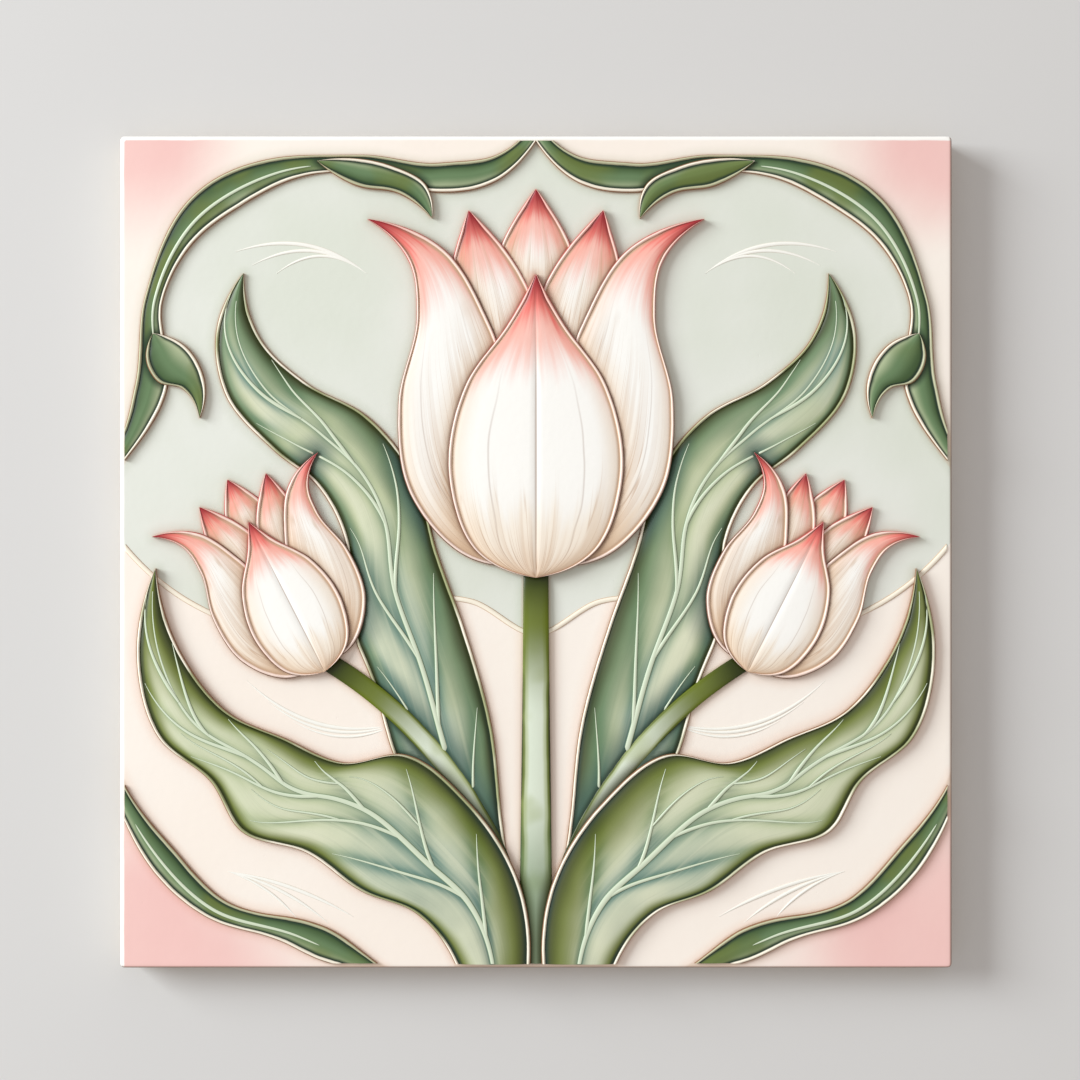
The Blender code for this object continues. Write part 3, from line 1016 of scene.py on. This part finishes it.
def petal_glaze(name, blush_from, seed, midline=0.0):
    """White petals with a sandy foot and fine lines along them, streaked up to pink and crimson tips."""
    material, tree, base = glaze(name)
    along, across, rim, tuck = measures(tree, "along across rim tuck")
    brush = placed_group(tree, "brush_streaks", along=along, across=across, seed=seed)
    reach = times(along, 0.97, times(brush["Streak"], 0.18, -0.1))
    reach = maths("ADD", reach, fade(rim, 0.8, 3.5, 0.05))
    bright = 1 - blush_from
    body = ramp(
        reach,
        (0.0, TAN), (0.07, SAND), (0.22, IVORY), (0.34, WHITE), (blush_from, WHITE),
        (blush_from + 0.45 * bright, PINK), (blush_from + 0.76 * bright, ROSE), (1.0, RED),
    )
    # Painted shade of the domed petal's rounded edge: a warm band inside the slip line, pink towards the tip
    # and sandy towards the foot
    rounded_edge_shade = mixed(fade(reach, 0.45, 0.85), PINK, SAND)
    body = coated(body, (rim, 0.8, 5.0, 0.6, rounded_edge_shade, "MULTIPLY"))
    drawn_to = times(brush["Streak"], 0.5, maths("SUBTRACT", along, 0.25))
    # The tan wash and hair lines are also strong next to a petal in front, as painted shade there
    brushed = maths("MAXIMUM", fade(drawn_to, 0.05, 0.42, 0.9), fade(tuck, 1.0, 11.0, 0.6))
    broad = times(fade(brush["Wash"], 0.48, 0.62, 0.0, 0.4), brushed)
    body = mixed(broad, body, TAN)
    hair_tone = mixed(fade(along, 0.05, 0.3), TAN, SEPIA)
    body = mixed(times(brush["Hairs"], brushed), body, hair_tone)
    lines = placed_group(tree, "petal_lines", along=along, across=across, midline=midline)
    body = mixed(lines["Share"], body, SEPIA)
    # Painted shade: darker tan towards the foot and next to a petal in front, deepest right at its edge
    shaded = times(fade(along, 0.04, 0.4, 0.6), fade(tuck, 0.0, 9.0, 1.0, 0.35))
    body = coated(
        mixed(shaded, body, TAN),
        (tuck, 0.0, 5.0, 0.6, SAND, "MULTIPLY"),
        (tuck, 0.0, 1.8, 0.5, TAN),
        (tuck, 0.0, 0.6, 0.5, SEPIA),
        (along, 1.0, 0.88, 0.95, CRIMSON),
    )
    tip = fade(along, 0.8, 0.97)
    line, pool = mixed(tip, PINK, PALE_SLIP), mixed(tip, CRIMSON, TAN)
    foot = mixed(fade(along, 0.6, 0.95), GARNET, UMBER)
    slip_lined(tree, base, rim=rim, surface=body, foot=foot, line=line, pool=pool, pool_reach=0.7)
    return material


def leaf_glaze(name, stops, edge_tone, seed):
    """Leaf greens along the leaf, paler in its lobes, with the glaze pooled dark inside the slip line."""
    material, tree, base = glaze(name, coat=GREEN_COAT, sheen=GREEN_SHEEN)
    along, across, rim, tuck, lobe = measures(tree, "along across rim tuck lobe")
    brush = placed_group(tree, "brush_streaks", along=along, across=across, seed=seed)
    patchy = cloud(tree, LEAF_PATCH_SCALE)
    body = ramp(maths("ADD", along, times(patchy, 0.4, -0.2)), *stops)
    lobes = times(fade(lobe, 0.15, 1.0, 0.0, 1.5), patchy, clamp=True)
    body = mixed(lobes, body, PALE_LEAF)
    beside_veins = times(fade(lobe, 0.0, 0.5, 0.45), fade(rim, 2.0, 9.0, 0.15, 1.0))
    body = mixed(beside_veins, body, DEEP_TEAL)
    body = coated(body, (brush["Streak"], 0.7, 0.45, 0.4, PALE_LEAF))
    body = mixed(times(brush["Hairs"], 0.08), body, DEEP_TEAL)
    wander = times(times(patchy, 10.0, 0.5), fade(across, -0.4, 0.5, 1.7, 0.55))
    in_from_rim = maths("DIVIDE", maths("SUBTRACT", rim, BEAD), wander)
    wash = ramp(in_from_rim, (0.0, DARK_OLIVE), (0.3, edge_tone), (1.0, MOSS))
    body = coated(
        body,
        (in_from_rim, 0.1, 1.0, 0.95, wash),
        # Painted shade next to a part that lies in front
        (tuck, 0.0, 5.0, 0.75, DEEP_TEAL),
        (tuck, 0.0, 1.0, 0.7, BOTTLE),
    )
    line = mixed(fade(patchy, 0.42, 0.56), CREAM_SLIP, OLIVE_SLIP)
    pool = mixed(fade(along, 0.2, 0.45), DARK_OLIVE, BOTTLE)
    slip_lined(tree, base, rim=rim, surface=body, foot=SEPIA, line=line, pool=pool, pool_reach=0.9)
    return material


def band_glaze():
    """Corner bands: dark and thick along their outer side, thinner and lighter inwards."""
    material, tree, base = glaze("band_glaze", coat=GREEN_COAT, sheen=GREEN_SHEEN)
    across, rim, tuck = measures(tree, "across rim tuck")
    patchy = cloud(tree, BAND_PATCH_SCALE)
    side = maths("ADD", across, times(patchy, 0.8, -0.4))
    outward = times(side, 0.5, 0.5)
    body = ramp(outward, (0.0, CELADON), (0.45, FERN), (0.8, FOREST), (1.0, BOTTLE))
    # Olive patches, and painted shade in bottle green next to a part in front
    body = coated(body, (patchy, 0.62, 0.45, 0.7, OLIVE), (tuck, 0.0, 1.6, 0.8, BOTTLE))
    line = coated(CREAM_SLIP, (across, 0.2, -0.2, 0.75, OLIVE_SLIP))
    slip_lined(tree, base, rim=rim, surface=body, foot=SEPIA, line=line, pool=BOTTLE, pool_reach=0.7)
    return material


def stem_glaze():
    """Stems: pale along the crown as a painted highlight, dark down their sides where the glaze has run and
    as painted shade, olive under the blooms.
    """
    material, tree, base = glaze("stem_glaze", coat=GREEN_COAT, sheen=GREEN_SHEEN)
    along, across, tuck = measures(tree, "along across tuck")
    patchy = cloud(tree, STEM_PATCH_SCALE)
    # Pale crown and dark sides: painted highlight and shade of the round stem, with the glaze run off its
    # crown
    side = maths("ADD", maths("ABSOLUTE", across), times(patchy, 0.3, -0.15))
    body = ramp(
        side,
        (0.0, PALE_STEM), (0.45, PALE_STEM), (0.7, CELADON), (0.86, OLIVE), (1.0, DARK_OLIVE),
    )
    body = coated(
        body,
        (patchy, 0.3, 0.5, 0.5, MOSS),
        (along, 0.15, 0.45, 0.75, FERN),
        (along, 0.84, 0.6, 0.95, YELLOW_OLIVE),
        (along, 0.96, 0.82, 1.0, DARK_OLIVE),
        # Painted shade next to a part that lies in front
        (tuck, 0.0, 2.5, 0.85, DARK_OLIVE),
    )
    tree.links.new(body, base)
    return material


def ground_glaze():
    """Sage above the horizon, cream below it and blush in the corners, with pooled glaze and painted shade
    round the foot of the parts that stand on it, a white rim painted as a highlight on the left and top, and
    painted shade along the right and bottom edges.
    """
    material, tree, base = glaze("ground_glaze")
    sky, near, corner, rim, inward, lee = measures(tree, "sky near corner rim inward lee")
    patchy = cloud(tree, GROUND_PATCH_SCALE, 3.0)
    sage = mixed(fade(patchy, 0.35, 0.65, 0.7), SAGE, SAGE_DEEP)
    cream = mixed(fade(patchy, 0.35, 0.65, 0.35), CREAM, CREAM_DEEP)
    blush = mixed(fade(patchy, 0.35, 0.65, 0.5), BLUSH, BLUSH_DEEP)
    above = fade(sky, 0.15, -0.15)
    in_corner = fade(corner, 0.6, 0.4)
    inward = times(inward, fade(sky, -5.0, 5.0, 1.0, 1.7))
    inward = times(patchy, 24.0, inward)
    colour = mixed(in_corner, mixed(above, cream, sage), cream)
    colour = mixed(times(fade(inward, 24.0, 56.0), in_corner), colour, blush)
    # Glaze pooled round the foot of the raised parts, darkened further as painted shade where they stand on
    # the ground
    pooling_and_shade = mixed(above, PEACH, SAGE_POOL_SHADE)
    # The white rim along the edge is a painted highlight, shown on the left and top only
    edge = maths("ADD", rim, times(cloud(tree, GROUND_EDGE_SCALE), 0.3, -0.15))
    colour = coated(
        colour,
        (near, 0.0, times(patchy, 3.5, 0.4), 0.28, pooling_and_shade, "MULTIPLY"),
        (near, 0.0, 0.6, 0.4, TAN),
        (edge, 0.66, 0.88, 1.0, WHITE),
    )
    height = tree.nodes.new("ShaderNodeSeparateXYZ")
    tree.links.new(place_on_tile(tree), height.inputs[0])
    below = fade(height.outputs["Z"], GLAZE_WHITE_TO * MM, GLAZE_WHITE_FROM * MM)
    colour = mixed(below, WHITE, colour)
    # Painted shade: a dark line along the right and bottom edges, the sides away from the key light
    for full, gone, tone in ((0.1, 0.42, SEPIA), (0.05, 0.2, UMBER)):
        colour = mixed(times(fade(lee, full, gone, 0.8), below), colour, tone)
    tree.links.new(colour, base)
    return material


def slip_glaze(name, crest, shaded_flank):
    """A raised line by itself: its crest in one tone and its flanks in another, darker one that is painted
    shade on its sides.
    """
    material, tree, base = glaze(name)
    side = maths("ABSOLUTE", *measures(tree, "across"))
    tree.links.new(ramp(side, (0.0, crest), (0.62, crest), (0.92, shaded_flank), (1.0, shaded_flank)), base)
    return material


def biscuit_clay():
    """Unglazed fired clay: buff, with darker grog specks and rub marks."""
    material, tree, base = glaze("biscuit_clay", coat=0.0)
    grain = cloud(tree, GRAIN_SCALE, 3.0, 0.7)
    specks = fade(wire(tree, "TexVoronoi", place_on_tile(tree), None, SPECK_SCALE), 0.08, 0.2)
    colour = mixed(fade(cloud(tree, RUB_SCALE, 3.0), 0.35, 0.65), CLAY, CLAY_DARK)
    tree.links.new(mixed(times(specks, 0.35), colour, SEPIA), base)
    roughness = tree.nodes["Principled BSDF"].inputs["Roughness"]
    tree.links.new(times(grain, 0.2, 0.75), roughness)
    tree.links.new(grain, tree.nodes["Bump"].inputs["Height"])
    return material


def finishes():
    """Every glaze and clay, by name."""
    for make_group in (glaze_finish_group, slip_line_group, brush_streaks_group, petal_lines_group):
        make_group()
    leaf_stops = [(0.0, DEEP_TEAL), (0.2, TEAL), (0.45, CELADON), (0.8, CELADON), (1.0, MOSS)]
    tall_stops = [(0.0, DEEP_TEAL), (0.36, TEAL), (0.66, CELADON), (0.85, TEAL), (1.0, FERN)]
    made = [
        petal_glaze("front_petal_glaze", 0.6, 4.0, midline=0.6),
        petal_glaze("petal_glaze", 0.64, 1.0),
        petal_glaze("rear_petal_glaze", 0.72, 7.0),
        leaf_glaze("low_leaf_glaze", leaf_stops, YELLOW_OLIVE, 3.0),
        leaf_glaze("tall_leaf_glaze", tall_stops, FERN, 5.0),
        band_glaze(),
        stem_glaze(),
        ground_glaze(),
        slip_glaze("vein_slip", PALE_VEIN, FERN),
        slip_glaze("horizon_slip", CREAM_SLIP, TAN),
        slip_glaze("ripple_slip", PEARL, LINEN),
        biscuit_clay(),
    ]
    return {material.name: material for material in made}


def pale_floor():
    """Plain matt floor, clear from below and under the tile itself, so that the tile's back shows there."""
    material = bpy.data.materials.new("pale_floor")
    material.use_nodes = True
    tree = material.node_tree
    shader = tree.nodes["Principled BSDF"]
    shader.inputs["Base Color"].default_value = FLOOR_TONE
    shader.inputs["Roughness"].default_value = FLOOR_ROUGHNESS
    face = tree.nodes.new("ShaderNodeNewGeometry")
    place = tree.nodes.new("ShaderNodeSeparateXYZ")
    tree.links.new(place_on_tile(tree), place.inputs[0])
    off = maths("MAXIMUM", *(maths("ABSOLUTE", place.outputs[axis]) for axis in "XY"))
    under_tile = maths("LESS_THAN", off, (HALF - FLOOR_LAP) * MM)
    see_through = maths("MAXIMUM", face.outputs["Backfacing"], under_tile)
    clear = tree.nodes.new("ShaderNodeBsdfTransparent")
    choice = wire(tree, "MixShader", see_through, shader.outputs[0], clear.outputs[0])
    tree.links.new(choice, tree.nodes["Material Output"].inputs["Surface"])
    return material


def studio():
    """A pale floor, a soft key light from the upper left, and even light from all round."""
    pick()
    bpy.ops.mesh.primitive_plane_add(size=FLOOR_SIZE, location=(0, 0, -FLOOR_GAP))
    floor = bpy.context.object
    floor.name = "floor"
    floor.data.materials.append(pale_floor())
    lamp = bpy.data.lights.new("key_light", "AREA")
    lamp.size, lamp.energy, lamp.color = KEY_SIZE, KEY_POWER, KEY_TONE
    light = bpy.data.objects.new("key_light", lamp)
    bpy.context.scene.collection.objects.link(light)
    light.location = KEY_AT
    light.rotation_euler = (-light.location).to_track_quat("-Z", "Y").to_euler()
    world = bpy.data.worlds.new("studio")
    bpy.context.scene.world = world
    world.use_nodes = True
    sky = world.node_tree.nodes["Background"]
    sky.inputs["Color"].default_value = WORLD_TONE
    sky.inputs["Strength"].default_value = WORLD_STRENGTH
    bpy.context.scene.view_settings.view_transform = "Standard"


def camera():
    """Straight above the tile, at the photograph's scale and framing."""
    data = bpy.data.cameras.new("camera")
    data.lens = LENS
    made = bpy.data.objects.new("camera", data)
    bpy.context.scene.collection.objects.link(made)
    per_mm = TILE_PIXELS / (2 * HALF)
    seen = PHOTO_SIDE / per_mm
    aim_x = (PHOTO_SIDE / 2 - TILE_CENTRE_PX[0]) / per_mm
    aim_y = (TILE_CENTRE_PX[1] - PHOTO_SIDE / 2) / per_mm
    high = seen / data.sensor_width * LENS + BODY_THICK
    made.location = (aim_x * MM, aim_y * MM, high * MM)
    bpy.context.scene.camera = made


def main():
    biscuit_body()
    ground()
    horizon_lines()
    ripples()
    for part in PARTS:
        model_part(part)
        if part.veins:
            leaf_veins(part)
        if part.name.startswith("arch_band"):
            band_ridge(part, *ARCH_RIDGE_SPAN)
        if part.name.startswith("low_band"):
            band_ridge(part, *LOW_RIDGE_SPAN)
    studio()
    camera()


PARTS = picture()
FINISHES = finishes()
main()
